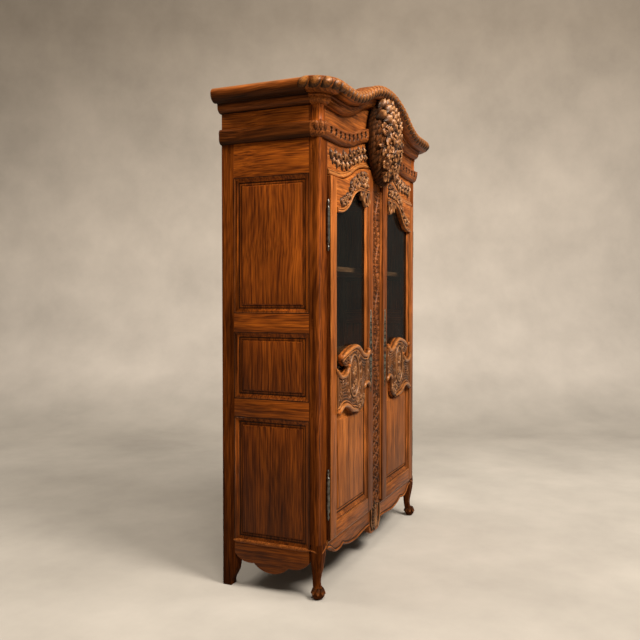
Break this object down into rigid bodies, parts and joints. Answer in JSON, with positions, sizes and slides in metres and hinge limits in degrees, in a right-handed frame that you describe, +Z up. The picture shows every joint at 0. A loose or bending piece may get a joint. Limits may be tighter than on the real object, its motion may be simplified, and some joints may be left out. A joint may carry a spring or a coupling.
{
  "type": "glazed armoire",
  "caption": "Tall carved wooden armoire with an arched cornice, glazed doors over raised panels, shelves, long fiche hinges, pierced escutcheons and cabriole front legs",
  "frame": {"origin": "On the floor, at the middle of the cabinet's overall width and depth.", "axes": "+Z is up, -Y is the front with the doors and +X is to the right seen from the front."},
  "size_m": [1.6168, 0.609, 2.399],
  "materials": {
    "side_wood": "waxed reddish brown",
    "front_wood": "waxed orange brown",
    "carved_wood": "waxed, grey in the recesses",
    "inside_wood": "bare aged wood",
    "old_glass": "clear",
    "hinge_steel": "worn",
    "escutcheon_steel": "dull grey-green patina",
    "lock_iron": "dark"
  },
  "bodies": {
    "case": {"back_boards": "inside_wood", "back_rails": "inside_wood", "cartouche": "carved_wood", "ceiling_board": "inside_wood", "centre_muntin": "carved_wood", "cornice_back_rail": "inside_wood", "cornice_corner_posts": "side_wood", "cornice_front_architrave": "front_wood", "cornice_front_crown": "front_wood", "cornice_front_frieze": "front_wood", "cornice_roof_board": "inside_wood", "cornice_side_architraves": "side_wood", "cornice_side_crowns": "side_wood", "cornice_side_friezes": "side_wood", "floor_board": "inside_wood", "front_bottom_rail": "front_wood", "front_left_post": "side_wood", "front_right_post": "side_wood", "front_top_rail": "front_wood", "hinge_post_halves": "hinge_steel", "joint_pegs": "side_wood", "left_side_mouldings": "side_wood", "left_side_panels": "side_wood", "lock_keeps": "lock_iron", "rear_left_post": "side_wood", "rear_right_post": "side_wood", "right_side_mouldings": "side_wood", "right_side_panels": "side_wood", "shelf_cleats": "inside_wood", "shelves": "inside_wood", "side_bottom_rails": "side_wood", "side_lower_rails": "side_wood", "side_top_rails": "side_wood", "side_upper_rails": "side_wood"},
    "left_door": {"left_door_beads": "inside_wood", "left_door_bottom_rail": "front_wood", "left_door_escutcheon": "escutcheon_steel", "left_door_glass": "old_glass", "left_door_hinge_halves": "hinge_steel", "left_door_hinge_stile": "front_wood", "left_door_lock_case": "lock_iron", "left_door_meeting_stile": "front_wood", "left_door_middle_rail": "front_wood", "left_door_mouldings": "front_wood", "left_door_panel": "front_wood", "left_door_top_rail": "front_wood"},
    "right_door": {"right_door_beads": "inside_wood", "right_door_bottom_rail": "front_wood", "right_door_escutcheon": "escutcheon_steel", "right_door_glass": "old_glass", "right_door_hinge_halves": "hinge_steel", "right_door_hinge_stile": "front_wood", "right_door_lock_case": "lock_iron", "right_door_meeting_stile": "front_wood", "right_door_middle_rail": "front_wood", "right_door_mouldings": "front_wood", "right_door_panel": "front_wood", "right_door_top_rail": "front_wood"},
    "left_lock_bolt": {"left_door_lock_bolt": "lock_iron"},
    "right_lock_bolt": {"right_door_lock_bolt": "lock_iron"}
  },
  "joints": [
    {"name": "left_door_hinge", "type": "hinge", "parent": "case", "child": "left_door", "pos_m": [-0.6455, -0.1975, 1], "axis": [0, 0, -1], "range_deg": [0, 110]},
    {"name": "left_lock_slide", "type": "slide", "parent": "left_door", "child": "left_lock_bolt", "axis": [1, 0, 0], "range_m": [0, 0.014]},
    {"name": "right_door_hinge", "type": "hinge", "parent": "case", "child": "right_door", "pos_m": [0.6455, -0.1975, 1], "axis": [0, 0, 1], "range_deg": [0, 110]},
    {"name": "right_lock_slide", "type": "slide", "parent": "right_door", "child": "right_lock_bolt", "axis": [-1, 0, 0], "range_m": [0, 0.014]}
  ]
}
